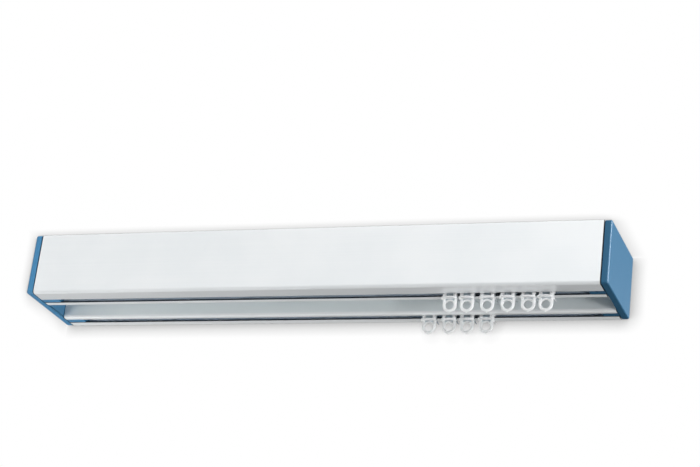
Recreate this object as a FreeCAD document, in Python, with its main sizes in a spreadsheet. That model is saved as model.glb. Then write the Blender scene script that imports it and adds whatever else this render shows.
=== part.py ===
import FreeCAD, Part
import os
import Sketcher

# Curtain track for two curtains: one lacquered aluminium extrusion with a tall fascia,
# a moulded cap on each end, and ring gliders that hang in two slots on the underside.
# X runs along the track, Y from the room (negative) to the window, Z is up.
# The origin is the middle of the roof's upper face, which lies on the ceiling.

SIZES = {
    # extrusion
    "track_length": 462,
    "track_height": 50,
    "track_depth": 74,
    "wall": 1.6,
    "lip_thickness": 1,
    "slot_width": 6,
    "inner_lip": 5.8,
    "rear_box": 19.2,
    "recess": 27.6,
    "channel_height": 9,
    "outer_edge_radius": 2.5,
    "top_edge_radius": 0.6,
    "slot_edge_radius": 0.5,
    # screw holes in the roof, reached through the recess
    "screw_hole_spacing": 350,
    "screw_hole_diameter": 4.5,
    # end caps
    "cap_thickness": 5.2,
    "cap_corner_radius": 1.6,
    "cap_edge_radius": 1.4,
    "cap_gap": 0.7,
    "cap_gap_depth": 1.2,
    "left_plug_length": 15,
    "right_plug_length": 12.4,
    "plug_clearance": 0.15,
    "plug_nose_chamfer": 0.5,
    "key_recess": 0.3,
    "tongue_length": 8,
    "tongue_thickness": 2,
    "tongue_nose_chamfer": 0.5,
    "sink_mark_diameter": 2,
    "sink_mark_depth": 1.2,
    "sink_mark_inset": 2,
    # gliders
    "glider_lift": 0.2,
    "neck_clearance": 0.3,
    "head_length": 11,
    "head_overhang": 2.6,
    "head_thickness": 2.6,
    "head_edge_chamfer": 0.6,
    "neck_length": 10.4,
    "post_length": 2.3,
    "web_thickness": 1.2,
    "collar_drop": 2,
    "collar_length": 11.6,
    "collar_width": 8.5,
    "collar_thickness": 1.2,
    "nose_radius": 1.15,
    "nose_reach": 6.85,
    "nose_offset": 0.8,
    "nose_height": 2.2,
    "eye_drop": 8.3,
    "eye_radius": 3.2,
    "ring_radius": 5.5,
    "ring_thickness": 2.3,
    "crown_band": 1.2,
    "crown_half_width": 3.4,
    "crown_web": 0.8,
    "gate_width": 0.9,
    "gate_height": 0.5,
    "leg_thickness": 0.8,
    "leg_width": 2.2,
    "leg_bend_drop": 1.6,
    "leg_knee_reach": 5.6,
    "leg_knee_drop": 3.4,
    "leg_tip_reach": 7,
    "leg_tip_drop": 5.4,
}

# How far each glider hangs from the profile's right end, from left to right.
FRONT_GLIDERS = (118.0, 104.6, 88.9, 73.2, 57.5, 44.1)
REAR_GLIDERS = (148.1, 132.1, 117.7, 102.3)


def name_glider(row, number):
    return f"{row}_glider_{number}"


for row, places in (("front", FRONT_GLIDERS), ("rear", REAR_GLIDERS)):
    for number, place in enumerate(places, 1):
        SIZES[name_glider(row, number) + "_from_end"] = place


# Lengths closer than this are the same, and so are volumes.
TOLERANCE = 1e-4

# Places in the section, as expressions on the sheet.
FRONT = "(-Sizes.track_depth / 2)"
BACK = "(Sizes.track_depth / 2)"
BOTTOM = "(-Sizes.track_height)"
REAR_BOX_FRONT = f"({BACK} - Sizes.rear_box)"
FRONT_BOX_BACK = f"({REAR_BOX_FRONT} - Sizes.recess)"
REAR_SLOT_FRONT = f"({REAR_BOX_FRONT} + Sizes.inner_lip)"
REAR_SLOT_BACK = f"({REAR_SLOT_FRONT} + Sizes.slot_width)"
FRONT_SLOT_BACK = f"({FRONT_BOX_BACK} - Sizes.inner_lip)"
FRONT_SLOT_FRONT = f"({FRONT_SLOT_BACK} - Sizes.slot_width)"
FRONT_SLOT_MIDDLE = f"({FRONT_SLOT_BACK} - Sizes.slot_width / 2)"
REAR_SLOT_MIDDLE = f"({REAR_SLOT_FRONT} + Sizes.slot_width / 2)"
LIP_TOP = f"({BOTTOM} + Sizes.lip_thickness)"
CHANNEL_TOP = f"({LIP_TOP} + Sizes.channel_height)"
SHELF_TOP = f"({CHANNEL_TOP} + Sizes.wall)"
ROOF_UNDERSIDE = "(-Sizes.wall)"
CHANNEL_WIDTH = "(Sizes.rear_box - 2 * Sizes.wall)"
REAR_CHANNEL_FRONT = f"({REAR_BOX_FRONT} + Sizes.wall)"
REAR_CHANNEL_BACK = f"({BACK} - Sizes.wall)"
FRONT_CHANNEL_BACK = f"({FRONT_BOX_BACK} - Sizes.wall)"
FRONT_CHANNEL_FRONT = f"({FRONT_CHANNEL_BACK} - {CHANNEL_WIDTH})"
FASCIA_BACK = f"({FRONT} + Sizes.wall)"
HALF_TRACK = "(Sizes.track_length / 2)"
KEY_LOW = f"({BOTTOM} + Sizes.key_recess)"
LEFT_PLUG = "Sizes.left_plug_length"
RIGHT_PLUG = "Sizes.right_plug_length"

doc = FreeCAD.newDocument("CurtainTrack")
sheet = doc.addObject("Spreadsheet::Sheet", "Sizes")
for line, (alias, size) in enumerate(SIZES.items(), 1):
    sheet.set(f"A{line}", alias)
    sheet.set(f"B{line}", str(size))
    sheet.setAlias(f"B{line}", alias)
doc.recompute()


def value(expression):
    return float(sheet.evalExpression(expression))


def new_body(name):
    body = doc.addObject("PartDesign::Body", name)
    body.Label = name
    return body


def new_sketch(body, name, plane_role, lift=None):
    """A sketch on one of the body's own origin planes, lifted along its normal."""
    sketch = body.newObject("Sketcher::SketchObject", name)
    plane = [item for item in body.Origin.OriginFeatures if item.Role == plane_role][0]
    sketch.AttachmentSupport = [(plane, "")]
    sketch.MapMode = "FlatFace"
    if lift:
        sketch.setExpression(".AttachmentOffset.Base.z", lift)
    return sketch


def bind(sketch, kind, *items, to):
    """A constraint whose value follows an expression on the sheet."""
    index = sketch.addConstraint(Sketcher.Constraint(kind, *items, value(to)))
    sketch.setExpression(f"Constraints[{index}]", to)


def add_outline(sketch, corners):
    """A closed run of straight lines, each corner bound to its two expressions."""
    points = [FreeCAD.Vector(value(across), value(up), 0) for across, up in corners]
    first = sketch.GeometryCount
    count = len(points)
    for index, point in enumerate(points):
        following = points[(index + 1) % count]
        sketch.addGeometry(Part.LineSegment(point, following), False)
    for index, (across, up) in enumerate(corners):
        line = first + index
        after = first + (index + 1) % count
        sketch.addConstraint(Sketcher.Constraint("Coincident", line, 2, after, 1))
        bind(sketch, "DistanceX", -1, 1, line, 1, to=across)
        bind(sketch, "DistanceY", -1, 1, line, 1, to=up)


def add_rectangle(sketch, left, right, low, high):
    add_outline(sketch, [(left, low), (right, low), (right, high), (left, high)])


def add_circle(sketch, across, up, radius):
    centre = FreeCAD.Vector(value(across), value(up), 0)
    circle = Part.Circle(centre, FreeCAD.Vector(0, 0, 1), value(radius))
    index = sketch.addGeometry(circle, False)
    bind(sketch, "DistanceX", -1, 1, index, 3, to=across)
    bind(sketch, "DistanceY", -1, 1, index, 3, to=up)
    bind(sketch, "Radius", index, to=radius)


def add_bowl(sketch, top, centre_up, radius):
    """A shape with a flat top, two upright sides and a half round bottom."""
    across = value(radius)
    high = value(top)
    middle = value(centre_up)
    top_left = FreeCAD.Vector(-across, high, 0)
    top_right = FreeCAD.Vector(across, high, 0)
    low_left = FreeCAD.Vector(-across, middle, 0)
    low_right = FreeCAD.Vector(across, middle, 0)
    lowest = FreeCAD.Vector(0, middle - across, 0)
    first = sketch.GeometryCount
    sketch.addGeometry(Part.LineSegment(low_right, top_right), False)
    sketch.addGeometry(Part.LineSegment(top_right, top_left), False)
    sketch.addGeometry(Part.LineSegment(top_left, low_left), False)
    sketch.addGeometry(Part.Arc(low_left, lowest, low_right), False)
    right_side, flat_top, left_side, round_end = range(first, first + 4)
    sketch.addConstraint(Sketcher.Constraint("Coincident", right_side, 2, flat_top, 1))
    sketch.addConstraint(Sketcher.Constraint("Coincident", flat_top, 2, left_side, 1))
    sketch.addConstraint(Sketcher.Constraint("Tangent", left_side, 2, round_end, 1))
    sketch.addConstraint(Sketcher.Constraint("Tangent", round_end, 2, right_side, 1))
    sketch.addConstraint(Sketcher.Constraint("Vertical", right_side))
    sketch.addConstraint(Sketcher.Constraint("Horizontal", flat_top))
    sketch.addConstraint(Sketcher.Constraint("PointOnObject", round_end, 3, -2))
    bind(sketch, "DistanceY", -1, 1, right_side, 2, to=top)
    bind(sketch, "DistanceY", -1, 1, round_end, 3, to=centre_up)
    bind(sketch, "Radius", round_end, to=radius)


def add_feature(body, kind, name, profile, length, cuts=False, midplane=False, reverse=False):
    """A pad or a pocket, checked to have changed the solid."""
    before = body.Shape.Volume if body.Tip else 0
    feature = body.newObject(kind, name)
    feature.Profile = profile
    feature.Midplane = midplane
    feature.Reversed = reverse
    feature.setExpression("Length", length)
    doc.recompute()
    grown = body.Shape.Volume - before
    if cuts and grown > -TOLERANCE or not cuts and grown < TOLERANCE:
        raise RuntimeError(f"{body.Label}: {name} changed nothing")
    return feature


def pad(body, name, profile, length, **options):
    return add_feature(body, "PartDesign::Pad", name, profile, length, **options)


def pocket(body, name, profile, length, **options):
    return add_feature(body, "PartDesign::Pocket", name, profile, length, cuts=True, **options)


def edges_where(feature, wanted):
    """Names of the edges of a feature that the given test accepts."""
    edges = feature.Shape.Edges
    return [f"Edge{index}" for index, edge in enumerate(edges, 1) if wanted(edge)]


def dress(body, kind, name, size_property, base, wanted, size):
    """A fillet or chamfer on the edges that the test accepts."""
    edges = edges_where(base, wanted)
    if not edges:
        raise RuntimeError(f"{body.Label}: {name} found no edge")
    feature = body.newObject(kind, name)
    feature.Base = (base, edges)
    feature.setExpression(size_property, size)
    doc.recompute()
    return feature


def fillet(body, name, base, wanted, radius):
    return dress(body, "PartDesign::Fillet", name, "Radius", base, wanted, radius)


def chamfer(body, name, base, wanted, size):
    return dress(body, "PartDesign::Chamfer", name, "Size", base, wanted, size)


def near(first, second):
    return abs(first - second) < TOLERANCE


def long_edge_at(*places):
    """Accepts edges along the track that lie at one of the (across, up) places."""
    spots = [(value(across), value(up)) for across, up in places]

    def wanted(edge):
        box = edge.BoundBox
        if box.YLength > TOLERANCE or box.ZLength > TOLERANCE:
            return False
        return any(near(box.YMin, across) and near(box.ZMin, up) for across, up in spots)

    return wanted


def make_profile():
    body = new_body("track_profile")
    section = new_sketch(body, "Section", "YZ_Plane")
    add_outline(section, [
        (FRONT, "0"),
        (BACK, "0"),
        (BACK, BOTTOM),
        (REAR_SLOT_BACK, BOTTOM),
        (REAR_SLOT_BACK, LIP_TOP),
        (REAR_CHANNEL_BACK, LIP_TOP),
        (REAR_CHANNEL_BACK, CHANNEL_TOP),
        (REAR_CHANNEL_FRONT, CHANNEL_TOP),
        (REAR_CHANNEL_FRONT, LIP_TOP),
        (REAR_SLOT_FRONT, LIP_TOP),
        (REAR_SLOT_FRONT, BOTTOM),
        (REAR_BOX_FRONT, BOTTOM),
        (REAR_BOX_FRONT, ROOF_UNDERSIDE),
        (FRONT_BOX_BACK, ROOF_UNDERSIDE),
        (FRONT_BOX_BACK, BOTTOM),
        (FRONT_SLOT_BACK, BOTTOM),
        (FRONT_SLOT_BACK, LIP_TOP),
        (FRONT_CHANNEL_BACK, LIP_TOP),
        (FRONT_CHANNEL_BACK, CHANNEL_TOP),
        (FRONT_CHANNEL_FRONT, CHANNEL_TOP),
        (FRONT_CHANNEL_FRONT, LIP_TOP),
        (FRONT_SLOT_FRONT, LIP_TOP),
        (FRONT_SLOT_FRONT, BOTTOM),
        (FRONT, BOTTOM),
    ])
    add_rectangle(section, FASCIA_BACK, FRONT_CHANNEL_BACK, SHELF_TOP, ROOF_UNDERSIDE)
    add_rectangle(section, FASCIA_BACK, f"{FRONT_CHANNEL_FRONT} - Sizes.wall", LIP_TOP, CHANNEL_TOP)
    add_rectangle(section, REAR_CHANNEL_FRONT, REAR_CHANNEL_BACK, SHELF_TOP, ROOF_UNDERSIDE)
    extrusion = pad(body, "Extrusion", section, "Sizes.track_length", midplane=True)

    rounded = fillet(
        body, "BottomCorners", extrusion,
        long_edge_at((FRONT, BOTTOM), (REAR_BOX_FRONT, BOTTOM)), "Sizes.outer_edge_radius",
    )
    rounded = fillet(
        body, "SlotEdges", rounded,
        long_edge_at(
            (FRONT_SLOT_FRONT, BOTTOM), (FRONT_SLOT_BACK, BOTTOM), (FRONT_BOX_BACK, BOTTOM),
            (REAR_SLOT_FRONT, BOTTOM), (REAR_SLOT_BACK, BOTTOM), (BACK, BOTTOM),
        ),
        "Sizes.slot_edge_radius",
    )
    fillet(
        body, "TopEdges", rounded,
        long_edge_at((FRONT, "0"), (BACK, "0")), "Sizes.top_edge_radius",
    )

    holes = new_sketch(body, "ScrewHoles", "XY_Plane")
    for side in ("-", ""):
        add_circle(
            holes, f"{side}Sizes.screw_hole_spacing / 2",
            f"({REAR_BOX_FRONT} + {FRONT_BOX_BACK}) / 2", "Sizes.screw_hole_diameter / 2",
        )
    pocket(body, "ScrewHoleCuts", holes, "2 * Sizes.wall")
    return body


def add_cap_block(body, name, corners, length, nose, side):
    """A block on the cap's inner face, with its far end chamfered all round."""
    outline = new_sketch(body, name + "Outline", "YZ_Plane")
    add_outline(outline, corners)
    block = pad(body, name, outline, f"{length} + Sizes.cap_gap", reverse=side > 0)
    end = side * -value(f"{length} + Sizes.cap_gap")
    across = [value(place) for place, up in corners]
    up = [value(height) for place, height in corners]

    def nose_edge(edge):
        box = edge.BoundBox
        if not (near(box.XMin, end) and near(box.XMax, end)):
            return False
        middle = edge.CenterOfMass
        inside_y = min(across) - TOLERANCE < middle.y < max(across) + TOLERANCE
        inside_z = min(up) - TOLERANCE < middle.z < max(up) + TOLERANCE
        return inside_y and inside_z

    chamfer(body, name + "Nose", block, nose_edge, nose)


def add_plug(body, name, channel_front, channel_back, slot_front, slot_back, length, side):
    """Fills the end of a channel, with a key below it that fills the end of the slot."""
    fit = "Sizes.plug_clearance"
    low = f"({LIP_TOP} + {fit})"
    high = f"({CHANNEL_TOP} - {fit})"
    add_cap_block(body, name, [
        (f"{channel_front} + {fit}", low),
        (f"{slot_front} + {fit}", low),
        (f"{slot_front} + {fit}", KEY_LOW),
        (f"{slot_back} - {fit}", KEY_LOW),
        (f"{slot_back} - {fit}", low),
        (f"{channel_back} - {fit}", low),
        (f"{channel_back} - {fit}", high),
        (f"{channel_front} + {fit}", high),
    ], length, "Sizes.plug_nose_chamfer", side)


def add_tongue(body, name, front, back, side):
    """A flat tongue that lies behind an outer wall in an upper chamber."""
    fit = "Sizes.plug_clearance"
    low = f"({SHELF_TOP} + {fit})"
    high = f"({ROOF_UNDERSIDE} - {fit})"
    add_cap_block(body, name, [
        (f"{front} + {fit}", low),
        (f"{back} - {fit}", low),
        (f"{back} - {fit}", high),
        (f"{front} + {fit}", high),
    ], "Sizes.tongue_length", "Sizes.tongue_nose_chamfer", side)


def make_cap(name, plug_length, side):
    """An end cap. Its own X zero is the face towards the track; side is 1 on the right."""
    body = new_body(name)
    body.setExpression(".Placement.Base.x", f"{side} * ({HALF_TRACK} + Sizes.cap_gap)")

    outline = new_sketch(body, "PlateOutline", "YZ_Plane")
    add_rectangle(outline, FRONT, BACK, BOTTOM, "0")
    plate = pad(body, "Plate", outline, "Sizes.cap_thickness", reverse=side < 0)

    def corner(edge):
        return near(edge.BoundBox.XLength, value("Sizes.cap_thickness"))

    plate = fillet(body, "PlateCorners", plate, corner, "Sizes.cap_corner_radius")
    outer = side * value("Sizes.cap_thickness")

    def outer_edge(edge):
        return near(edge.BoundBox.XMin, outer) and near(edge.BoundBox.XMax, outer)

    fillet(body, "PlateEdge", plate, outer_edge, "Sizes.cap_edge_radius")

    inset = "Sizes.cap_gap_depth"
    land = new_sketch(body, "LandOutline", "YZ_Plane")
    add_rectangle(land, f"{FRONT} + {inset}", f"{BACK} - {inset}", f"{BOTTOM} + {inset}", f"-{inset}")
    pad(body, "Land", land, "Sizes.cap_gap", reverse=side > 0)

    add_plug(
        body, "FrontPlug", FRONT_CHANNEL_FRONT, FRONT_CHANNEL_BACK,
        FRONT_SLOT_FRONT, FRONT_SLOT_BACK, plug_length, side,
    )
    add_plug(
        body, "RearPlug", REAR_CHANNEL_FRONT, REAR_CHANNEL_BACK,
        REAR_SLOT_FRONT, REAR_SLOT_BACK, plug_length, side,
    )
    thick = "Sizes.tongue_thickness"
    add_tongue(body, "FrontTongue", FASCIA_BACK, f"({FASCIA_BACK} + {thick})", side)
    add_tongue(body, "RearTongue", f"({REAR_CHANNEL_BACK} - {thick})", REAR_CHANNEL_BACK, side)
    return body


def make_right_cap():
    """The right cap has a small round mark in its front key, seen from below."""
    body = make_cap("end_cap_right", RIGHT_PLUG, 1)
    mark = new_sketch(body, "SinkMark", "XY_Plane", KEY_LOW)
    add_circle(
        mark, f"-Sizes.cap_gap - {RIGHT_PLUG} / 2",
        f"{FRONT_SLOT_FRONT} + Sizes.sink_mark_inset", "Sizes.sink_mark_diameter / 2",
    )
    pocket(body, "SinkMarkCut", mark, "Sizes.sink_mark_depth", reverse=True)
    return body


# A glider's own origin is the middle of its slot, on the track's underside.
HEAD_LOW = "(Sizes.lip_thickness + Sizes.glider_lift)"
COLLAR_TOP = "(-Sizes.collar_drop)"
COLLAR_LOW = f"({COLLAR_TOP} - Sizes.collar_thickness)"
NECK_HALF_WIDTH = "(Sizes.slot_width / 2 - Sizes.neck_clearance)"
EYE_HEIGHT = "(-Sizes.eye_drop)"


def add_head(body):
    outline = new_sketch(body, "HeadOutline", "XY_Plane", HEAD_LOW)
    half_width = "(Sizes.slot_width / 2 + Sizes.head_overhang)"
    add_rectangle(
        outline, "-Sizes.head_length / 2", "Sizes.head_length / 2", f"-{half_width}", half_width,
    )
    head = pad(body, "Head", outline, "Sizes.head_thickness")
    top = value(f"{HEAD_LOW} + Sizes.head_thickness")

    def top_edge(edge):
        return near(edge.BoundBox.ZMin, top) and near(edge.BoundBox.ZMax, top)

    chamfer(body, "HeadEdge", head, top_edge, "Sizes.head_edge_chamfer")


def add_neck(body):
    """Two posts and a thin web between them, in the slot."""
    half_length = "(Sizes.neck_length / 2)"
    post_inner = f"({half_length} - Sizes.post_length)"
    half_web = "(Sizes.web_thickness / 2)"
    outline = new_sketch(body, "NeckOutline", "XY_Plane", COLLAR_TOP)
    add_outline(outline, [
        (f"-{half_length}", f"-{NECK_HALF_WIDTH}"),
        (f"-{post_inner}", f"-{NECK_HALF_WIDTH}"),
        (f"-{post_inner}", f"-{half_web}"),
        (post_inner, f"-{half_web}"),
        (post_inner, f"-{NECK_HALF_WIDTH}"),
        (half_length, f"-{NECK_HALF_WIDTH}"),
        (half_length, NECK_HALF_WIDTH),
        (post_inner, NECK_HALF_WIDTH),
        (post_inner, half_web),
        (f"-{post_inner}", half_web),
        (f"-{post_inner}", NECK_HALF_WIDTH),
        (f"-{half_length}", NECK_HALF_WIDTH),
    ])
    pad(body, "Neck", outline, f"{HEAD_LOW} - {COLLAR_TOP}")


def add_collar(body):
    """The oval disc under the slot."""
    outline = new_sketch(body, "CollarOutline", "XY_Plane", COLLAR_LOW)
    long_axis = value("Sizes.collar_length / 2")
    short_axis = value("Sizes.collar_width / 2")
    oval = Part.Ellipse(FreeCAD.Vector(0, 0, 0), long_axis, short_axis)
    index = outline.addGeometry(oval, False)
    outline.exposeInternalGeometry(index)
    long_line = index + 1
    short_line = index + 2
    outline.addConstraint(Sketcher.Constraint("Coincident", index, 3, -1, 1))
    outline.addConstraint(Sketcher.Constraint("PointOnObject", long_line, 1, -1))
    bind(outline, "Distance", long_line, to="Sizes.collar_length")
    bind(outline, "Distance", short_line, to="Sizes.collar_width")
    pad(body, "Collar", outline, "Sizes.collar_thickness")


def add_ring(body):
    """The upright ring below the collar, with its eye along Y."""
    outline = new_sketch(body, "RingOutline", "XZ_Plane")
    add_bowl(outline, COLLAR_LOW, EYE_HEIGHT, "Sizes.ring_radius")
    pad(body, "Ring", outline, "Sizes.ring_thickness", midplane=True)

    eye = new_sketch(body, "EyeOutline", "XZ_Plane")
    add_circle(eye, "0", EYE_HEIGHT, "Sizes.eye_radius")
    pocket(body, "Eye", eye, "2 * Sizes.ring_thickness", midplane=True)


def add_arch(sketch, half_width, top, centre_up, radius):
    """A shape with a flat top, two upright sides and an arched foot about the centre."""
    across = value(half_width)
    high = value(top)
    centre = value(centre_up)
    reach = value(radius)
    foot = centre + (reach ** 2 - across ** 2) ** 0.5
    top_left = FreeCAD.Vector(-across, high, 0)
    top_right = FreeCAD.Vector(across, high, 0)
    low_left = FreeCAD.Vector(-across, foot, 0)
    low_right = FreeCAD.Vector(across, foot, 0)
    crest = FreeCAD.Vector(0, centre + reach, 0)
    first = sketch.GeometryCount
    sketch.addGeometry(Part.LineSegment(top_left, top_right), False)
    sketch.addGeometry(Part.LineSegment(top_right, low_right), False)
    sketch.addGeometry(Part.Arc(low_right, crest, low_left), False)
    sketch.addGeometry(Part.LineSegment(low_left, top_left), False)
    flat_top, right_side, arch, left_side = range(first, first + 4)
    sketch.addConstraint(Sketcher.Constraint("Coincident", flat_top, 2, right_side, 1))
    sketch.addConstraint(Sketcher.Constraint("Coincident", right_side, 2, arch, 1))
    sketch.addConstraint(Sketcher.Constraint("Coincident", arch, 2, left_side, 1))
    sketch.addConstraint(Sketcher.Constraint("Coincident", left_side, 2, flat_top, 1))
    sketch.addConstraint(Sketcher.Constraint("Vertical", right_side))
    sketch.addConstraint(Sketcher.Constraint("Vertical", left_side))
    sketch.addConstraint(Sketcher.Constraint("Horizontal", flat_top))
    sketch.addConstraint(Sketcher.Constraint("PointOnObject", arch, 3, -2))
    bind(sketch, "DistanceX", -1, 1, flat_top, 2, to=half_width)
    bind(sketch, "DistanceX", flat_top, 1, -1, 1, to=half_width)
    bind(sketch, "DistanceY", -1, 1, flat_top, 2, to=top)
    bind(sketch, "DistanceY", -1, 1, arch, 3, to=centre_up)
    bind(sketch, "Radius", arch, to=radius)


def add_crown_recess(body):
    """A shallow recess on each face, between the collar and the top of the eye."""
    depth = "(Sizes.ring_thickness - Sizes.crown_web) / 2"
    band = "(Sizes.eye_radius + Sizes.crown_band)"
    for face, side in (("Front", 1), ("Back", -1)):
        lift = f"{side} * Sizes.ring_thickness / 2"
        outline = new_sketch(body, face + "CrownOutline", "XZ_Plane", lift)
        add_arch(outline, "Sizes.crown_half_width", COLLAR_LOW, EYE_HEIGHT, band)
        pocket(body, face + "Crown", outline, depth, reverse=side < 0)


def add_nose(body):
    """The upright knob at the collar's left end: a tab with a half round end."""
    low = f"({COLLAR_TOP} - (Sizes.collar_thickness + Sizes.nose_height) / 2)"
    outline = new_sketch(body, "NoseOutline", "XY_Plane", low)
    outline.AttachmentOffset = FreeCAD.Placement(
        outline.AttachmentOffset.Base, FreeCAD.Rotation(FreeCAD.Vector(0, 0, 1), -90),
    )
    outline.setExpression(".AttachmentOffset.Base.y", "-Sizes.nose_offset")
    add_bowl(
        outline, "-(Sizes.neck_length - Sizes.post_length) / 2",
        "Sizes.nose_radius - Sizes.nose_reach", "Sizes.nose_radius",
    )
    pad(body, "Nose", outline, "Sizes.nose_height")


def add_gate_mark(body):
    """The small stub that moulding leaves at the foot of the ring."""
    low = f"({EYE_HEIGHT} - Sizes.ring_radius - Sizes.gate_height)"
    half = "Sizes.gate_width / 2"
    outline = new_sketch(body, "GateOutline", "XY_Plane", low)
    add_rectangle(outline, f"-{half}", half, f"-{half}", half)
    pad(body, "Gate", outline, "Sizes.gate_height + Sizes.gate_width / 2")


def add_spring_leg(body):
    """A thin leg behind the right post, which flares out below the collar."""
    half = "Sizes.leg_thickness / 2"
    upright = f"(Sizes.neck_length / 2 - {half})"
    line = [
        (upright, f"({HEAD_LOW} + Sizes.head_thickness / 2)"),
        (upright, "(-Sizes.leg_bend_drop)"),
        ("Sizes.leg_knee_reach", "(-Sizes.leg_knee_drop)"),
        ("Sizes.leg_tip_reach", "(-Sizes.leg_tip_drop)"),
    ]
    right_edge = [(f"{across} + {half}", up) for across, up in line]
    left_edge = [(f"{across} - {half}", up) for across, up in reversed(line)]
    outline = new_sketch(body, "LegOutline", "XZ_Plane", f"-{NECK_HALF_WIDTH}")
    add_outline(outline, right_edge + left_edge)
    pad(body, "Leg", outline, "Sizes.leg_width")


def make_glider(row, number, slot_middle):
    body = new_body(name_glider(row, number))
    body.setExpression(".Placement.Base.x", f"{HALF_TRACK} - Sizes.{body.Label}_from_end")
    body.setExpression(".Placement.Base.y", slot_middle)
    body.setExpression(".Placement.Base.z", BOTTOM)
    add_head(body)
    add_neck(body)
    add_collar(body)
    add_ring(body)
    add_crown_recess(body)
    add_nose(body)
    add_spring_leg(body)
    add_gate_mark(body)
    return body


pieces = [make_profile(), make_cap("end_cap_left", LEFT_PLUG, -1), make_right_cap()]
for number in range(1, len(FRONT_GLIDERS) + 1):
    pieces.append(make_glider("front", number, FRONT_SLOT_MIDDLE))
for number in range(1, len(REAR_GLIDERS) + 1):
    pieces.append(make_glider("rear", number, REAR_SLOT_MIDDLE))
doc.recompute()

for item in doc.Objects:
    if "Invalid" in item.State or "Error" in item.State:
        raise RuntimeError(f"{item.Label} failed: {item.State}")
for piece in pieces:
    if piece.Shape.isNull() or not piece.Shape.isValid():
        raise RuntimeError(f"{piece.Label} has no valid shape")

os.makedirs("parts", exist_ok=True)
for piece in pieces:
    piece.Shape.exportStep(f"parts/{piece.Label}.step")
    print(piece.Label, len(piece.Shape.Solids), round(piece.Shape.Volume, 1))
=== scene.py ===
import math

import bmesh
import bpy
from mathutils import Matrix, Vector


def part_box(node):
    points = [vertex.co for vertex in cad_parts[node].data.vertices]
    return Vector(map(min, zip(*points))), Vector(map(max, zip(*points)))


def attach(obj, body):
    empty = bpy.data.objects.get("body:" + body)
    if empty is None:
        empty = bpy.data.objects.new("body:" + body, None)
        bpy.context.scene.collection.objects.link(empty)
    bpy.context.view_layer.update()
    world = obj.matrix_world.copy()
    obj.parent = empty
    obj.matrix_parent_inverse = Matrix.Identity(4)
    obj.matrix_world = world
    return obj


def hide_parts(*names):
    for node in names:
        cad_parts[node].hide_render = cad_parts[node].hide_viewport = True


# Curtain track, seen from the room: X runs to the right, Y to the window, Z up.
# Lengths below are in metres; MM turns the object's own millimetres into them.

MM = 0.001
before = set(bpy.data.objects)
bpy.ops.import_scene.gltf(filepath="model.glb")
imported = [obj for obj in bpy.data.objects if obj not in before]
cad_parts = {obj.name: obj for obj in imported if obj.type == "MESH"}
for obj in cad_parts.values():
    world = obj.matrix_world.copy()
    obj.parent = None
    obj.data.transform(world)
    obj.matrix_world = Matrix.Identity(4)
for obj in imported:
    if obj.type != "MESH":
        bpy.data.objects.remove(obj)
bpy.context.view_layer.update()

# Sizes that follow the frame.
TRACK_LOW, TRACK_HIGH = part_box("track_profile")
CAP_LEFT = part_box("end_cap_left")[0].x
CAP_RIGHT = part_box("end_cap_right")[1].x
HALF_TRACK = TRACK_HIGH.x
FRONT = TRACK_LOW.y
BACK = TRACK_HIGH.y
BOTTOM = TRACK_LOW.z

# The extrusion's section.
WALL = 1.6 * MM
LIP = 1.0 * MM
SLOT = 6.0 * MM
INNER_LIP = 5.8 * MM
REAR_BOX = 19.2 * MM
RECESS = 27.6 * MM
CHANNEL_HEIGHT = 9.0 * MM
OUTER_RADIUS = 2.5 * MM
TOP_RADIUS = 0.6 * MM
SLOT_RADIUS = 0.5 * MM
SCREW_SPACING = 350.0 * MM
SCREW_RADIUS = 2.25 * MM

FASCIA_BACK = FRONT + WALL
REAR_BOX_FRONT = BACK - REAR_BOX
FRONT_BOX_BACK = REAR_BOX_FRONT - RECESS
REAR_SLOT_FRONT = REAR_BOX_FRONT + INNER_LIP
REAR_SLOT_BACK = REAR_SLOT_FRONT + SLOT
FRONT_SLOT_BACK = FRONT_BOX_BACK - INNER_LIP
FRONT_SLOT_FRONT = FRONT_SLOT_BACK - SLOT
LIP_TOP = BOTTOM + LIP
CHANNEL_TOP = LIP_TOP + CHANNEL_HEIGHT
SHELF_TOP = CHANNEL_TOP + WALL
CHANNEL_WIDTH = REAR_BOX - 2 * WALL
REAR_CHANNEL_FRONT = REAR_BOX_FRONT + WALL
REAR_CHANNEL_BACK = BACK - WALL
FRONT_CHANNEL_BACK = FRONT_BOX_BACK - WALL
FRONT_CHANNEL_FRONT = FRONT_CHANNEL_BACK - CHANNEL_WIDTH
CHANNELS = (
    (FRONT_CHANNEL_FRONT, FRONT_CHANNEL_BACK), (REAR_CHANNEL_FRONT, REAR_CHANNEL_BACK),
)
SLOTS = ((FRONT_SLOT_FRONT, FRONT_SLOT_BACK), (REAR_SLOT_FRONT, REAR_SLOT_BACK))

# The end caps.
CAP_CORNER = 1.6 * MM
CAP_EDGE = 1.4 * MM
CAP_GAP = 0.7 * MM
CAP_INSET = 1.2 * MM
LEFT_PLUG = 15.0 * MM
RIGHT_PLUG = 12.4 * MM
PLUG_FIT = 0.15 * MM
PLUG_CHAMFER = 0.5 * MM
KEY_RECESS = 0.3 * MM
TONGUE_LENGTH = 8.0 * MM
TONGUE = 2.0 * MM
MARK_RADIUS = 1.0 * MM
MARK_INSET = 2.0 * MM
MARK_DEPTH = 1.2 * MM

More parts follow.
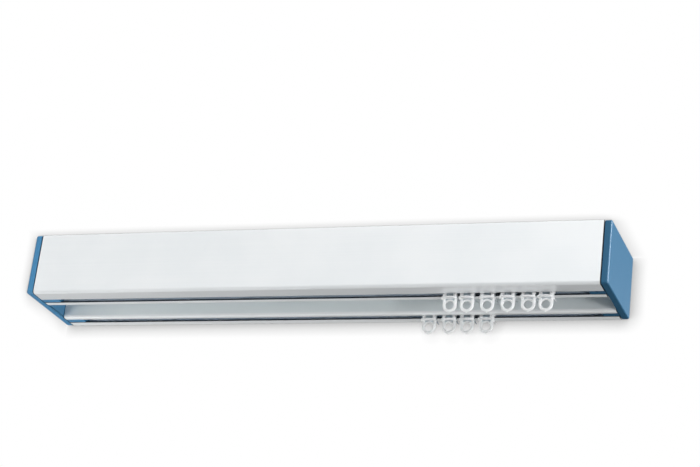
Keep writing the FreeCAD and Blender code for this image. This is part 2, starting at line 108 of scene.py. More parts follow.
# The glider, measured from the middle of its slot on the track's underside.
HEAD_LOW = LIP + 0.2 * MM
HEAD_HIGH = HEAD_LOW + 2.6 * MM
HEAD_HALF = Vector((5.5, 5.6, 0)) * MM
HEAD_EDGE = 0.6 * MM
NECK_HALF = Vector((5.2, 2.7, 0)) * MM
POST = 2.3 * MM
WEB = 1.2 * MM
COLLAR_TOP = -2.0 * MM
COLLAR_LOW = -3.2 * MM
COLLAR_HALF = Vector((5.8, 4.25, 0)) * MM
EYE_HEIGHT = -8.3 * MM
EYE_RADIUS = 3.2 * MM
RING_RADIUS = 5.5 * MM
RING = 2.3 * MM
CROWN_BAND = 1.2 * MM
CROWN_HALF = 3.4 * MM
CROWN_WEB = 0.8 * MM
NOSE_RADIUS = 1.15 * MM
NOSE_REACH = 6.85 * MM
NOSE_OFFSET = 0.8 * MM
NOSE_HEIGHT = 2.2 * MM
GATE = 0.9 * MM
GATE_DROP = 0.5 * MM
LEG = 0.8 * MM
LEG_WIDTH = 2.2 * MM
LEG_ROOT = HEAD_LOW + 1.3 * MM
LEG_BEND = -1.6 * MM
LEG_KNEE = Vector((5.6, 0, -3.4)) * MM
LEG_TIP = Vector((7.0, 0, -5.4)) * MM
GROWN_IN = 0.3 * MM  # how far its pieces reach into each other
MOULD_GRAIN = 0.22 * MM

# A glider's plastics, in the order in which it carries them. The three after the milky one are
# darker copies that paint shade.
MILKY, THIN_WEB_SHADE, SHADED_LEG, NECK_WEB_SHADE = range(4)


# Shader maths written as plain expressions.

class Signal:
    """An output socket. Arithmetic on it adds the Math nodes that do it."""

    def __init__(self, finish, socket):
        self.finish = finish
        self.socket = socket

    def maths(self, operation, first, second=None):
        inputs = {0: first} if second is None else {0: first, 1: second}
        return self.finish.node("ShaderNodeMath", {"operation": operation}, inputs)

    def __add__(self, other):
        return self.maths("ADD", self, other)

    def __radd__(self, other):
        return self.maths("ADD", other, self)

    def __sub__(self, other):
        return self.maths("SUBTRACT", self, other)

    def __rsub__(self, other):
        return self.maths("SUBTRACT", other, self)

    def __mul__(self, other):
        return self.maths("MULTIPLY", self, other)

    def __rmul__(self, other):
        return self.maths("MULTIPLY", other, self)

    def __gt__(self, other):
        return self.maths("GREATER_THAN", self, other)

    def __lt__(self, other):
        return self.maths("LESS_THAN", self, other)

    def __abs__(self):
        return self.maths("ABSOLUTE", self)


class Finish:
    """A material under construction: a Principled surface and the nodes that feed it."""

    def __init__(self, name, **constants):
        self.material = bpy.data.materials.new(name)
        self.material.use_nodes = True
        self.tree = self.material.node_tree
        self.surface = next(n for n in self.tree.nodes if n.type == "BSDF_PRINCIPLED")
        for socket, value in constants.items():
            self.surface.inputs[socket.replace("_", " ")].default_value = value

    def node(self, kind, settings=None, inputs=None, output=0):
        """Adds a node with its settings, then its inputs, and gives one of its outputs."""
        made = self.tree.nodes.new(kind)
        for name, value in (settings or {}).items():
            setattr(made, name, value)
        for name, value in (inputs or {}).items():
            self.feed(made.inputs[name], value)
        return Signal(self, made.outputs[output])

    def feed(self, socket, value):
        if isinstance(value, Signal):
            self.tree.links.new(value.socket, socket)
        else:
            socket.default_value = value

    def set(self, name, value):
        self.feed(self.surface.inputs[name], value)

    def place(self):
        """Where a point lies, in the object's own metres."""
        return self.node("ShaderNodeTexCoord", output="Object")

    def stretched(self, scale):
        """The same, with each axis scaled, for a pattern that is drawn out one way."""
        return self.node(
            "ShaderNodeVectorMath", {"operation": "MULTIPLY"}, {0: self.place(), 1: scale}
        )

    def axis(self, letter):
        """How far a point lies along one of the object's axes."""
        return self.node("ShaderNodeSeparateXYZ", inputs={"Vector": self.place()}, output=letter)

    def noise(self, where, scale, detail=2.0, roughness=0.5):
        inputs = {"Vector": where, "Scale": scale, "Detail": detail, "Roughness": roughness}
        return self.node("ShaderNodeTexNoise", inputs=inputs, output="Fac")

    def ramp(self, value, low, high, start=0.0, end=1.0):
        """Turns low..high into start..end, smoothly, and holds the ends."""
        inputs = {"Value": value, "From Min": low, "From Max": high, "To Min": start, "To Max": end}
        return self.node("ShaderNodeMapRange", {"interpolation_type": "SMOOTHSTEP"}, inputs)

    def blend(self, amount, first, second):
        """A colour between two colours."""
        return self.node(
            "ShaderNodeMix", {"data_type": "RGBA"}, {"Factor": amount, 6: first, 7: second}, 2
        )

    def bump(self, height, distance):
        return self.node("ShaderNodeBump", inputs={"Height": height, "Distance": distance})


def white_lacquer():
    """Smooth white stoved lacquer over the extrusion, with faint draw lines along it. Painted light
    makes it brighter on the inner lips, painted shade makes it darker and cooler in the recess, and
    painted shadow makes the sawn ends near-black."""
    finish = Finish("white_lacquer", IOR=1.5, Coat_IOR=1.85, Coat_Roughness=0.03)
    cloud = finish.noise(finish.place(), 14.0, 3.0)
    lines = finish.noise(finish.stretched((2.0, 900.0, 900.0)), 1.0, 3.0, 0.6)
    peel = finish.noise(finish.place(), 700.0, 2.0)
    grain = finish.noise(finish.place(), 5200.0, 1.0)
    lacquer = finish.blend(
        finish.ramp(cloud + 0.25 * (lines - 0.5), 0.35, 0.65),
        (0.790, 0.820, 0.835, 1), (0.825, 0.848, 0.860, 1),
    )
    # Painted light: the lips behind the front slot get a brighter white than the fascia's lip.
    underneath = finish.ramp(finish.axis("Z"), BOTTOM + 0.2 * MM, BOTTOM + 0.8 * MM, 1.0, 0.0)
    lit_inner_lips = underneath * (finish.axis("Y") > FRONT_SLOT_FRONT + SLOT / 2)
    lacquer = finish.blend(lit_inner_lips, lacquer, (0.930, 0.960, 0.970, 1))
    # Painted shade: the recess between the boxes gets a darker, cooler white.
    behind_front_box = finish.axis("Y") > FRONT_BOX_BACK - 0.1 * MM
    recess = behind_front_box * (finish.axis("Y") < REAR_BOX_FRONT + 0.1 * MM)
    lacquer = finish.blend(recess, lacquer, (0.775, 0.826, 0.840, 1))
    # Painted shadow: the last few tenths of a millimetre at each sawn end go near-black, as the
    # shadow in the gap before the cap.
    sawn_end_shadow = finish.ramp(abs(finish.axis("X")), HALF_TRACK - 0.45 * MM, HALF_TRACK - 0.30 * MM)
    finish.set("Base Color", finish.blend(sawn_end_shadow, lacquer, (0.020, 0.024, 0.030, 1)))
    finish.set("Roughness", 0.26 + 0.08 * lines + 0.04 * (cloud - 0.5))
    finish.set("Coat Weight", 0.9 + 0.1 * (peel - 0.5))
    finish.set("Normal", finish.bump(0.5 * lines + 0.7 * peel + 0.12 * grain, 0.000006))
    return finish.material


def shaded_bare_channel():
    """The inside of a channel: dull unlacquered metal whose darker, bluish colour is partly painted
    shade, going near-black as painted shade on the slot's edges.
    """
    finish = Finish("shaded_bare_channel", Metallic=0.2)
    # Painted shade: below the lips' top, on the slot's edges, the colour goes near-black.
    inside = finish.ramp(finish.axis("Z"), LIP_TOP - 0.1 * MM, LIP_TOP + 0.3 * MM)
    streaks = finish.noise(finish.stretched((3.0, 700.0, 700.0)), 1.0, 4.0, 0.6)
    dust = finish.noise(finish.place(), 260.0, 4.0)
    edge = finish.blend(dust, (0.022, 0.030, 0.040, 1), (0.034, 0.044, 0.056, 1))
    metal = finish.blend(
        finish.ramp(streaks + 0.3 * dust, 0.45, 0.95),
        (0.52, 0.61, 0.70, 1), (0.60, 0.69, 0.78, 1),
    )
    finish.set("Base Color", finish.blend(inside, edge, metal))
    finish.set("Roughness", 0.45 + 0.25 * dust)
    finish.set("Normal", finish.bump(streaks + 0.4 * dust, 0.00003))
    return finish.material


def blue_plastic():
    """Moulded blue plastic with a fine spark-eroded grain and slow shade changes. Painted shadow
    makes the joint between a plate and the profile black, and painted light and shade give the left
    cap a lighter blue and the right cap a darker one."""
    finish = Finish("blue_plastic", IOR=1.49)
    flow = finish.noise(finish.place(), 45.0, 3.0)
    speck = finish.noise(finish.place(), 1100.0, 2.0)
    grain = finish.noise(finish.place(), 3600.0, 2.0, 0.7)
    shade = 0.75 * flow + 0.25 * speck
    # Painted light and shade: the left cap gets a lighter blue and the right cap a darker one, for
    # one and the same plastic.
    blue = finish.blend(
        finish.ramp(finish.axis("X") + 0.02 * (shade - 0.5), -0.02, 0.02),
        (0.060, 0.217, 0.400, 1), (0.027, 0.100, 0.182, 1),
    )
    # Painted shadow: the land's sides in the gap between plate and profile go near-black.
    joint_shadow = finish.ramp(
        abs(finish.axis("X")), HALF_TRACK + CAP_GAP - 0.05 * MM, HALF_TRACK + CAP_GAP, 1.0, 0.0,
    ) * (abs(finish.axis("X")) > HALF_TRACK + 0.01 * MM)
    finish.set("Base Color", finish.blend(joint_shadow, blue, (0.002, 0.004, 0.006, 1)))
    finish.set("Roughness", 0.36 + 0.10 * grain + 0.05 * (flow - 0.5))
    finish.set("Normal", finish.bump(grain + 0.5 * speck, 0.000018))
    return finish.material


def glider_plastic(name, clear, low, high):
    """Milky injection-moulded plastic: clouded inside, smooth outside."""
    finish = Finish(
        name, IOR=1.48, Transmission_Weight=clear, Subsurface_Weight=0.35,
        Subsurface_Radius=(1.0, 1.0, 1.0), Subsurface_Scale=0.0012,
    )
    milk = finish.noise(finish.place(), 240.0, 3.0)
    flow = finish.noise(finish.place(), 1500.0, 2.0)
    finish.set("Base Color", finish.blend(finish.ramp(milk, 0.35, 0.65), low, high))
    finish.set("Roughness", 0.24 + 0.12 * milk + 0.05 * flow)
    finish.set("Normal", finish.bump(flow + 0.6 * milk, 0.000015))
    return finish.material


# Modelling steps.

def deselect():
    bpy.ops.object.select_all(action="DESELECT")


def open_mesh(piece):
    """Puts a piece in edit mode with nothing selected."""
    deselect()
    piece.select_set(True)
    bpy.context.view_layer.objects.active = piece
    bpy.ops.object.mode_set(mode="EDIT")
    bpy.ops.mesh.select_all(action="DESELECT")


def close_mesh():
    bpy.ops.object.mode_set(mode="OBJECT")


def pick(kind, wanted):
    """Selects the open mesh's verts, edges or faces that the test accepts."""
    bpy.ops.mesh.select_mode(type={"verts": "VERT", "edges": "EDGE", "faces": "FACE"}[kind])
    bpy.ops.mesh.select_all(action="DESELECT")
    data = bpy.context.object.data
    mesh = bmesh.from_edit_mesh(data)
    for item in getattr(mesh, kind):
        item.select_set(bool(wanted(item)))
    mesh.select_flush_mode()
    bmesh.update_edit_mesh(data)


def near(first, second):
    return abs(first - second) < 1e-6


def middle_of(item):
    if isinstance(item, bmesh.types.BMFace):
        return item.calc_center_median()
    return (item.verts[0].co + item.verts[1].co) / 2


def along_x(edge):
    run = edge.verts[1].co - edge.verts[0].co
    return near(run.y, 0) and near(run.z, 0)


def lies_at(edge, axis, place):
    """Whether both ends of an edge lie at a place on an axis."""
    return all(near(getattr(vert.co, axis), place) for vert in edge.verts)


def crosses(edge, *heights):
    """Whether an edge runs level across the section, at one of the heights."""
    return not along_x(edge) and any(lies_at(edge, "z", height) for height in heights)


def rims_end(edge):
    """Whether an edge parts a face that looks along the track from one that doesn't."""
    faces = edge.link_faces
    return len(faces) == 2 and abs(faces[0].normal.x - faces[1].normal.x) > 0.5


def block(name, low, high):
    """A box between two corners."""
    low = Vector(low)
    high = Vector(high)
    deselect()
    bpy.ops.mesh.primitive_cube_add(size=1, location=(low + high) / 2, scale=high - low)
    piece = bpy.context.object
    piece.name = name
    bpy.ops.object.transform_apply(location=True, rotation=True, scale=True)
    return piece


def disc(name, middle, radius, depth, turn=(0, 0, 0), steps=64):
    """A cylinder about its middle, upright unless turned."""
    deselect()
    bpy.ops.mesh.primitive_cylinder_add(
        vertices=steps, radius=radius, depth=depth, location=middle, rotation=turn,
    )
    piece = bpy.context.object
    piece.name = name
    bpy.ops.object.transform_apply(location=True, rotation=True, scale=True)
    return piece


def bisect(point, normal):
    bpy.ops.mesh.select_all(action="SELECT")
    bpy.ops.mesh.bisect(plane_co=point, plane_no=normal)


def cut_lines(across=(), up=()):
    """Cuts the open mesh at places in Y and in Z."""
    for place in across:
        bisect((0, place, 0), (0, 1, 0))
    for place in up:
        bisect((0, 0, place), (0, 0, 1))


def extrude(*shift):
    bpy.ops.mesh.extrude_region_move(TRANSFORM_OT_translate={"value": shift})


def bevel(width, steps):
    bpy.ops.mesh.bevel(offset=width, segments=steps, affect="EDGES", clamp_overlap=False)


def round_off(width, steps, corners):
    """Bevels the edges that run along the track through the section's given corners."""
    pick("edges", lambda edge: along_x(edge) and any(
        near(edge.verts[0].co.y, across) and near(edge.verts[0].co.z, up)
        for across, up in corners
    ))
    bevel(width, steps)


def tidy_open_mesh(kept):
    """Merges doubles, turns faces outwards and clears the cuts that shape nothing. A face with
    holes can't do without some, so the kept ones are named, and every run keeps the same."""
    bpy.ops.mesh.select_all(action="SELECT")
    bpy.ops.mesh.remove_doubles(threshold=1e-7)
    bpy.ops.mesh.normals_make_consistent(inside=False)
    pick("edges", kept)
    bpy.ops.mesh.mark_seam(clear=False)
    bpy.ops.mesh.select_all(action="SELECT")
    bpy.ops.mesh.dissolve_limited(angle_limit=math.radians(0.5), delimit={"NORMAL", "SEAM"})
    bpy.ops.mesh.mark_seam(clear=True)


def modify(piece, kind, **settings):
    """Adds a modifier with its settings and applies it."""
    deselect()
    piece.select_set(True)
    bpy.context.view_layer.objects.active = piece
    modifier = piece.modifiers.new(kind.lower(), kind)
    for name, value in settings.items():
        setattr(modifier, name, value)
    bpy.ops.object.modifier_apply(modifier=modifier.name)
    return piece


def combine(piece, other, operation):
    """Joins, or takes away, another solid, which is used up."""
    modify(piece, "BOOLEAN", operation=operation, object=other, solver="EXACT")
    bpy.data.objects.remove(other)
    return piece


def shade(piece, degrees=30):
    deselect()
    piece.select_set(True)
    bpy.context.view_layer.objects.active = piece
    bpy.ops.object.shade_smooth_by_angle(angle=math.radians(degrees))


def finish_piece(piece, body, node, slot, *materials):
    """Gives a piece its materials, the body that it rides on and the node that it shows."""
    piece.data.materials.clear()
    for material in materials:
        piece.data.materials.append(material)
    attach(piece, body)
    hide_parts(node)


# The extrusion.

def in_rectangle(point, front, back, low, high):
    return front < point.y < back and low < point.z < high


def line_channels(piece):
    """Gives the channels' walls the darker unlacquered finish with its painted shade, and the
    slots' edges its near-black painted shade.
    """
    reach = 0.3 * MM
    # Painted shade: the slots' rounded edges take the near-black channel colour too.
    edge = 1.05 * SLOT_RADIUS
    unlacquered_and_shaded_boxes = [
        (front - reach, back + reach, LIP_TOP - reach, CHANNEL_TOP + reach)
        for front, back in CHANNELS
    ]
    unlacquered_and_shaded_boxes += [(front - edge, back + edge, BOTTOM, LIP_TOP) for front, back in SLOTS]
    for face in piece.data.polygons:
        if abs(face.normal.x) < 0.5 and any(in_rectangle(face.center, *box) for box in unlacquered_and_shaded_boxes):
            face.material_index = 1


def make_profile():
    """A sheet with the section's shape, drawn out along the track."""
    size = TRACK_HIGH - TRACK_LOW
    middle = (TRACK_LOW + TRACK_HIGH) / 2
    deselect()
    bpy.ops.mesh.primitive_plane_add(
        size=1, location=(TRACK_LOW.x, middle.y, middle.z), rotation=(0, math.radians(90), 0),
    )
    piece = bpy.context.object
    piece.name = "profile"
    piece.scale = (size.z, size.y, 1)
    bpy.ops.object.transform_apply(location=True, rotation=True, scale=True)
    hollows = [
        (FASCIA_BACK, FRONT_CHANNEL_BACK, SHELF_TOP, -WALL),
        (FASCIA_BACK, FRONT_CHANNEL_FRONT - WALL, LIP_TOP, CHANNEL_TOP),
        (FRONT_CHANNEL_FRONT, FRONT_CHANNEL_BACK, LIP_TOP, CHANNEL_TOP),
        (FRONT_SLOT_FRONT, FRONT_SLOT_BACK, BOTTOM, LIP_TOP),
        (FRONT_BOX_BACK, REAR_BOX_FRONT, BOTTOM, -WALL),
        (REAR_CHANNEL_FRONT, REAR_CHANNEL_BACK, LIP_TOP, CHANNEL_TOP),
        (REAR_SLOT_FRONT, REAR_SLOT_BACK, BOTTOM, LIP_TOP),
        (REAR_CHANNEL_FRONT, REAR_CHANNEL_BACK, SHELF_TOP, -WALL),
    ]
    across = sorted({place for hollow in hollows for place in hollow[:2]})
    up = sorted({place for hollow in hollows for place in hollow[2:]} - {BOTTOM})
    open_mesh(piece)
    cut_lines(across, up)
    pick("faces", lambda face: any(in_rectangle(middle_of(face), *hollow) for hollow in hollows))
    bpy.ops.mesh.delete(type="FACE")
    bpy.ops.mesh.select_all(action="SELECT")
    extrude(size.x, 0, 0)
    tidy_open_mesh(lambda edge: crosses(edge, SHELF_TOP, CHANNEL_TOP))
    round_off(OUTER_RADIUS, 10, [(FRONT, BOTTOM), (REAR_BOX_FRONT, BOTTOM)])
    round_off(SLOT_RADIUS, 5, [
        (FRONT_SLOT_FRONT, BOTTOM), (FRONT_SLOT_BACK, BOTTOM), (FRONT_BOX_BACK, BOTTOM),
        (REAR_SLOT_FRONT, BOTTOM), (REAR_SLOT_BACK, BOTTOM), (BACK, BOTTOM),
    ])
    round_off(TOP_RADIUS, 5, [(FRONT, 0), (BACK, 0)])
    close_mesh()

    for side in (-1, 1):
        place = (side * SCREW_SPACING / 2, (FRONT_BOX_BACK + REAR_BOX_FRONT) / 2, -WALL / 2)
        combine(piece, disc("screw_hole", place, SCREW_RADIUS, 3 * WALL, steps=40), "DIFFERENCE")
    shade(piece)
    modify(piece, "WEIGHTED_NORMAL", keep_sharp=True)
    finish_piece(
        piece, "track", "track_profile", "white_lacquer", white_lacquer(), shaded_bare_channel(),
    )
    line_channels(piece)


# The end caps.

def make_cap(name, node, side, plug_length, plastic):
    """A plate whose inner face is cut up and drawn out into a land, two plugs and two tongues."""
    outer = side * CAP_RIGHT
    inner = side * (HALF_TRACK + CAP_GAP)
    piece = block(
        name, (min(outer, inner), FRONT, BOTTOM), (max(outer, inner), BACK, TRACK_HIGH.z),
    )
    fit = PLUG_FIT
    plugs = [
        (front + fit, back - fit, LIP_TOP + fit, CHANNEL_TOP - fit) for front, back in CHANNELS
    ]
    keys = [
        (front + fit, back - fit, BOTTOM + KEY_RECESS, LIP_TOP + fit) for front, back in SLOTS
    ]
    tongues = [
        (FASCIA_BACK + fit, FASCIA_BACK + TONGUE - fit, SHELF_TOP + fit, -WALL - fit),
        (REAR_CHANNEL_BACK - TONGUE + fit, REAR_CHANNEL_BACK - fit, SHELF_TOP + fit, -WALL - fit),
    ]
    land = (FRONT + CAP_INSET, BACK - CAP_INSET, BOTTOM + CAP_INSET, -CAP_INSET)
    areas = [land] + plugs + keys + tongues
    open_mesh(piece)
    cut_lines(
        sorted({place for area in areas for place in area[:2]}),
        sorted({place for area in areas for place in area[2:]}),
    )

    def draw_out(boxes, start, length):
        pick("faces", lambda face: near(middle_of(face).x, start) and any(
            in_rectangle(middle_of(face), *box) for box in boxes
        ))
        extrude(-side * length, 0, 0)

    draw_out([land] + keys, inner, CAP_GAP)
    seat = inner - side * CAP_GAP
    draw_out(plugs + keys, seat, plug_length)
    draw_out(tongues, seat, TONGUE_LENGTH)
    tidy_open_mesh(lambda edge: not lies_at(edge, "x", outer) and crosses(
        edge, SHELF_TOP + fit, CHANNEL_TOP - fit
    ))
    round_off(CAP_CORNER, 8, [(y, z) for y in (FRONT, BACK) for z in (BOTTOM, TRACK_HIGH.z)])
    pick("edges", lambda edge: lies_at(edge, "x", outer) and rims_end(edge))
    bevel(CAP_EDGE, 7)
    tips = [seat - side * length for length in (plug_length, TONGUE_LENGTH)]
    pick("edges", lambda edge: any(lies_at(edge, "x", tip) for tip in tips) and rims_end(edge))
    bevel(PLUG_CHAMFER, 2)
    close_mesh()
    if side > 0:
        below = 1 * MM
        place = (
            HALF_TRACK - plug_length / 2, FRONT_SLOT_FRONT + MARK_INSET,
            BOTTOM + KEY_RECESS + (MARK_DEPTH - below) / 2,
        )
        mark = disc("mark", place, MARK_RADIUS, MARK_DEPTH + below, steps=32)
        combine(piece, mark, "DIFFERENCE")
    shade(piece)
    modify(piece, "WEIGHTED_NORMAL", keep_sharp=True)
    finish_piece(piece, "track", node, "blue_plastic", plastic)


# The gliders.

SIDEWAYS = (math.radians(90), 0, 0)


def make_ring():
    """The upright ring: round wire, two cheeks up to the collar, and a thin web between them."""
    wire = (RING_RADIUS - EYE_RADIUS) / 2
    centre_line = (RING_RADIUS + EYE_RADIUS) / 2
    eye = (0, 0, EYE_HEIGHT)
    deselect()
    bpy.ops.mesh.primitive_torus_add(
        location=eye, rotation=SIDEWAYS, major_radius=centre_line, minor_radius=wire,
        major_segments=72, minor_segments=24,
    )
    ring = bpy.context.object
    bpy.ops.object.transform_apply(location=True, rotation=True, scale=True)
    top = COLLAR_LOW + GROWN_IN
    for side in (-1, 1):
        near_side, far_side = sorted((side * CROWN_WEB / 2, side * RING))
        recess = block(
            "crown_recess",
            (-CROWN_HALF, near_side, EYE_HEIGHT), (CROWN_HALF, far_side, top + RING),
        )
        rim = disc("rim", eye, EYE_RADIUS + CROWN_BAND, 6 * RING, SIDEWAYS, 72)
        combine(ring, combine(recess, rim, "DIFFERENCE"), "DIFFERENCE")
    web = block(
        "ring_web", (-centre_line, -CROWN_WEB / 2, EYE_HEIGHT), (centre_line, CROWN_WEB / 2, top),
    )
    combine(web, disc("eye", eye, centre_line, 3 * RING, SIDEWAYS, 72), "DIFFERENCE")
    halfway = (EYE_HEIGHT + top) / 2
    cheeks = [
        disc("cheek", (side * centre_line, 0, halfway), wire, top - EYE_HEIGHT, steps=24)
        for side in (-1, 1)
    ]
    return ring, [web] + cheeks


def make_leg():
    """A thin leg at the right, bent outwards below the collar."""
    right = NECK_HALF.x
    left = right - LEG
    back = NECK_HALF.y
    front = back - LEG_WIDTH
    leg = block("leg", (left, front, LEG_BEND), (right, back, LEG_ROOT))
    upright = Vector(((left + right) / 2, 0, LEG_BEND))
    open_mesh(leg)
    pick("faces", lambda face: face.normal.z < -0.5)
    extrude(*(LEG_KNEE - upright))
    extrude(*(LEG_TIP - LEG_KNEE))
    close_mesh()
    return leg


def make_mould():
    """One glider at the frame's origin, all its pieces grown together and smoothed."""
    ring, crown = make_ring()
    head = block(
        "head", (-HEAD_HALF.x, -HEAD_HALF.y, HEAD_LOW), (HEAD_HALF.x, HEAD_HALF.y, HEAD_HIGH),
    )
    open_mesh(head)
    pick("edges", lambda edge: lies_at(edge, "z", HEAD_HIGH))
    bevel(HEAD_EDGE, 3)
    close_mesh()
    collar_height = (COLLAR_TOP + COLLAR_LOW) / 2
    collar = disc("collar", (0, 0, collar_height), 1, COLLAR_TOP - COLLAR_LOW, steps=96)
    open_mesh(collar)
    bpy.ops.mesh.select_all(action="SELECT")
    bpy.ops.transform.resize(value=(COLLAR_HALF.x, COLLAR_HALF.y, 1))
    close_mesh()
    neck_low = COLLAR_TOP - GROWN_IN
    neck_high = HEAD_LOW + GROWN_IN
    posts = []
    for side in (-1, 1):
        left, right = sorted((side * NECK_HALF.x, side * (NECK_HALF.x - POST)))
        posts.append(block("post", (left, -NECK_HALF.y, neck_low), (right, NECK_HALF.y, neck_high)))
    web = block("web", (-NECK_HALF.x, -WEB / 2, neck_low), (NECK_HALF.x, WEB / 2, neck_high))
    nose = NOSE_RADIUS - NOSE_REACH
    knob = disc("knob", (nose, -NOSE_OFFSET, collar_height), NOSE_RADIUS, NOSE_HEIGHT, steps=32)
    tab = block(
        "tab", (nose, -NOSE_OFFSET - NOSE_RADIUS, collar_height - NOSE_HEIGHT / 2),
        (-NECK_HALF.x + POST / 2, -NOSE_OFFSET + NOSE_RADIUS, collar_height + NOSE_HEIGHT / 2),
    )
    foot = EYE_HEIGHT - RING_RADIUS
    gate = block(
        "gate", (-GATE / 2, -GATE / 2, foot - GATE_DROP), (GATE / 2, GATE / 2, foot + GATE),
    )
    leg = make_leg()
    deselect()
    for piece in [ring, head, collar, web, knob, tab, gate, leg] + crown + posts:
        piece.select_set(True)
    bpy.context.view_layer.objects.active = ring
    bpy.ops.object.join()
    ring.name = "glider_mould"
    modify(ring, "REMESH", mode="VOXEL", voxel_size=MOULD_GRAIN)
    modify(ring, "SMOOTH", factor=0.5, iterations=3)
    deselect()
    ring.select_set(True)
    bpy.ops.object.shade_smooth()
    return ring


def glider_part(place, leg_plastic):
    """Which plastic a point of a glider shows. The crown web, the neck web and a leg that a
    neighbour shades get darker plastics, painted shade.
    """
    from_eye = math.hypot(place.x, place.z - EYE_HEIGHT)
    in_crown = (
        abs(place.y) < 0.75 * CROWN_WEB and abs(place.x) < CROWN_HALF
        and from_eye > EYE_RADIUS + 0.7 * CROWN_BAND and EYE_HEIGHT < place.z < COLLAR_LOW
    )
    if in_crown:
        return THIN_WEB_SHADE
    in_neck = (
        abs(place.y) < 0.75 * WEB and abs(place.x) < NECK_HALF.x - POST and place.z > COLLAR_TOP
    )
    if in_neck:
        return NECK_WEB_SHADE
    beside = place.x > NECK_HALF.x - LEG and place.y > NECK_HALF.y - LEG_WIDTH - 0.1 * MM
    below = place.x > COLLAR_HALF.x - 0.3 * MM and place.z < COLLAR_TOP - 0.3 * MM
    if beside and (below or place.z > COLLAR_TOP):
        return leg_plastic
    return MILKY


def hang_gliders():
    """A copy of the mould for every glider, at the place that its solid has. The legs get painted
    shade, grey in the front row and dark in the rear row, except the leg of a row's last glider,
    which stands clear of its neighbours and stays milky."""
    mould = make_mould()
    plastics = [
        glider_plastic("glider_plastic", 0.03, (0.90, 0.925, 0.935, 1), (0.94, 0.955, 0.965, 1)),
        # Painted shade: a grey, partly translucent copy for the crown web under the collar and the
        # front row's legs.
        glider_plastic("thin_web_shade", 0.40, (0.62, 0.70, 0.75, 1), (0.68, 0.76, 0.80, 1)),
        # Painted shade: a dark copy for the rear row's legs.
        glider_plastic("shaded_leg", 0.00, (0.15, 0.20, 0.24, 1), (0.19, 0.24, 0.28, 1)),
        # Painted shade: a darker, bluish, partly translucent copy for the neck web inside the slot.
        glider_plastic("neck_web_shade", 0.20, (0.38, 0.47, 0.53, 1), (0.43, 0.51, 0.57, 1)),
    ]
    for row, count, leg_plastic in (("front", 6, THIN_WEB_SHADE), ("rear", 4, SHADED_LEG)):
        for number in range(1, count + 1):
            node = f"{row}_glider_{number}"
            node_low, node_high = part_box(node)
            off_centre = LEG_TIP.x + LEG / 2 - NOSE_REACH
            shift = Vector((
                (node_low.x + node_high.x - off_centre) / 2, (node_low.y + node_high.y) / 2, BOTTOM,
            ))
            piece = mould.copy()
            piece.data = mould.data.copy()
            piece.name = f"{row}_ring_{number}"
            bpy.context.scene.collection.objects.link(piece)
            piece.data.transform(Matrix.Translation(shift))
            finish_piece(piece, node, node, "white_plastic", *plastics)
            for face in piece.data.polygons:
                face.material_index = glider_part(
                    face.center - shift, leg_plastic if number < count else MILKY,
                )
    bpy.data.objects.remove(mould)


# The set: camera, lamps, backdrops.

PHOTO_WIDTH = 700
CAMERA_PLACE = Vector((560.5, -1350.9, -580.7)) * MM
CAMERA_RIGHT = Vector((0.9384, 0.3265, 0.1134))
CAMERA_UP = Vector((0.0254, -0.3923, 0.9195))
FOCAL_PIXELS = 2006.0
SENSOR = 36.0

MIDDLE = (0, 0, -0.03)
LEFT_HALF = (-0.1, 0, -0.03)
RIGHT_HALF = (0.24, 0, -0.03)

# Each lamp's name, place, aim, width, height, watts, and whether the track mirrors it.
LAMPS = (
    ("key", (2.0, -1.38, -0.73), MIDDLE, 0.3, 0.3, 17.5, True),
    ("right_front", (1.3, -1.7, 0.2), MIDDLE, 0.8, 0.8, 13.5, False),
    ("overhead", (0.5, -0.4, 1.8), MIDDLE, 0.9, 0.9, 27, False),
    ("right_side", (1.95, -0.43, 0.70), MIDDLE, 0.6, 0.6, 62, True),
    ("right_low", (2.0, -0.1, -0.9), MIDDLE, 0.5, 0.5, 19, True),
    ("front_top", (0.5, -1.9, 0.9), MIDDLE, 1.2, 0.8, 1.8, True),
    ("left_side", (-2.2, -1.2, 0.1), MIDDLE, 0.6, 0.6, 13.5, True),
    ("left_near", (-0.6, -0.7, -0.34), LEFT_HALF, 0.3, 0.3, 2.8, False),
    ("left_near_low", (-0.55, 0.1, -0.7), LEFT_HALF, 0.3, 0.3, 2.0, False),
    ("left_near_back", (-0.55, 0.4, -0.55), LEFT_HALF, 0.3, 0.3, 2.5, False),
    ("low_back", (-0.1, 0.5, -0.8), MIDDLE, 0.4, 0.4, 0.45, False),
    ("back", (-0.8, 1.8, 0.6), MIDDLE, 1.0, 1.0, 9, False),
    ("sheen_high", (0.95, 2.1, 0.95), RIGHT_HALF, 1.4, 1.4, 1.2, True),
    ("sheen_low", (0.95, 2.1, 0.35), RIGHT_HALF, 1.0, 0.8, 1.8, True),
)

SHADE_REACH = 12 * MM
WIDE = 0.6
WALL_PLACE = BACK + 1 * MM
FLOOR_PLACE = -0.9
CEILING_PLACE = 0.5 * MM
SIDE_PLACE = CAP_LEFT - 0.5 * MM
SIDE_TOP = -2 * MM
QUARTER = math.radians(90)

# Each backdrop's name, size, place, turn, and how dark it gets where something touches it.
BACKDROPS = (
    ("wall", WIDE, (0, WALL_PLACE, 0), (QUARTER, 0, 0), 0.88),
    ("floor", 20 * WIDE, (0, 0, FLOOR_PLACE), (0, 0, 0), 0.88),
    ("side", WIDE, (SIDE_PLACE, 0, SIDE_TOP - WIDE / 2), (0, QUARTER, 0), 0.45),
    ("ceiling", WIDE, (0, WALL_PLACE - WIDE / 2, CEILING_PLACE), (2 * QUARTER, 0, 0), 0.42),
)


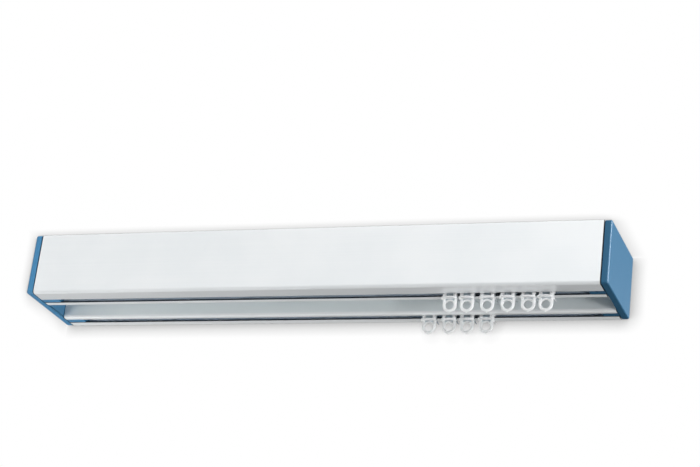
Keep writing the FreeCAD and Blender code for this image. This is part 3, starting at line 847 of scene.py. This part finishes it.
def set_camera():
    forward = CAMERA_UP.cross(CAMERA_RIGHT).normalized()
    right = forward.cross(CAMERA_UP).normalized()
    up = right.cross(forward)
    turn = Matrix((right, up, -forward)).transposed().to_4x4()
    lens = bpy.data.cameras.new("camera")
    lens.sensor_fit = "HORIZONTAL"
    lens.sensor_width = SENSOR
    lens.lens = FOCAL_PIXELS / PHOTO_WIDTH * SENSOR
    lens.clip_start = 0.01
    lens.clip_end = 50
    camera = bpy.data.objects.new("camera", lens)
    camera.matrix_world = Matrix.Translation(CAMERA_PLACE) @ turn
    bpy.context.scene.collection.objects.link(camera)
    bpy.context.scene.camera = camera


def add_lamp(name, place, aim, width, height, watts, mirrored):
    """A rectangular soft lamp, turned towards a point. One that isn't mirrored lights the track
    without a bright line along its rounded edges."""
    lamp = bpy.data.lights.new(name, "AREA")
    lamp.shape = "RECTANGLE"
    lamp.size = width
    lamp.size_y = height
    lamp.energy = watts
    holder = bpy.data.objects.new(name, lamp)
    place = Vector(place)
    holder.location = place
    holder.rotation_euler = (Vector(aim) - place).to_track_quat("-Z", "Y").to_euler()
    holder.visible_glossy = mirrored
    bpy.context.scene.collection.objects.link(holder)


def light_world(strength):
    """Even studio light from all around, with a white surround where it is seen."""
    world = bpy.data.worlds.new("studio")
    bpy.context.scene.world = world
    world.use_nodes = True
    tree = world.node_tree
    tree.nodes.clear()
    path = tree.nodes.new("ShaderNodeLightPath")
    seen = tree.nodes.new("ShaderNodeMath")
    seen.operation = "MAXIMUM"
    tree.links.new(path.outputs["Is Camera Ray"], seen.inputs[0])
    tree.links.new(path.outputs["Is Transmission Ray"], seen.inputs[1])
    light = tree.nodes.new("ShaderNodeBackground")
    light.inputs["Color"].default_value = (1, 1, 1, 1)
    light.inputs["Strength"].default_value = strength
    surround = tree.nodes.new("ShaderNodeBackground")
    surround.inputs["Color"].default_value = (1, 1, 1, 1)
    mix = tree.nodes.new("ShaderNodeMixShader")
    tree.links.new(seen.outputs[0], mix.inputs[0])
    tree.links.new(light.outputs[0], mix.inputs[1])
    tree.links.new(surround.outputs[0], mix.inputs[2])
    out = tree.nodes.new("ShaderNodeOutputWorld")
    tree.links.new(mix.outputs[0], out.inputs["Surface"])


def backdrop(name, size, place, turn, shade):
    """A white plane with painted shade, which darkens it softly where it lies close to something.
    It is seen from its front only, and takes no part in the lighting."""
    deselect()
    bpy.ops.mesh.primitive_plane_add(size=size, location=place, rotation=turn)
    plane = bpy.context.object
    plane.name = name
    plane.visible_shadow = False
    finish = Finish(name)
    # Painted shade: ambient occlusion dims the plane's white glow near the track.
    open_air = finish.node(
        "ShaderNodeAmbientOcclusion", {"samples": 12}, {"Distance": SHADE_REACH}, "AO",
    )
    level = (1 - shade) + shade * open_air
    white = finish.node("ShaderNodeEmission", inputs={"Strength": level})
    clear = finish.node("ShaderNodeBsdfTransparent")
    seen = finish.node("ShaderNodeLightPath", output="Is Camera Ray")
    behind = finish.node("ShaderNodeNewGeometry", output="Backfacing")
    shown = seen * (1 - behind)
    surface = finish.node("ShaderNodeMixShader", inputs={0: shown, 1: clear, 2: white})
    out = next(n for n in finish.tree.nodes if n.type == "OUTPUT_MATERIAL")
    finish.tree.links.new(surface.socket, out.inputs["Surface"])
    finish.tree.nodes.remove(finish.surface)
    plane.data.materials.append(finish.material)


bpy.context.scene.view_settings.view_transform = "Standard"
set_camera()
light_world(0.02)
for lamp in LAMPS:
    add_lamp(*lamp)
for sheet in BACKDROPS:
    backdrop(*sheet)

make_profile()
blue = blue_plastic()
make_cap("left_cap", "end_cap_left", -1, LEFT_PLUG, blue)
make_cap("right_cap", "end_cap_right", 1, RIGHT_PLUG, blue)
hang_gliders()
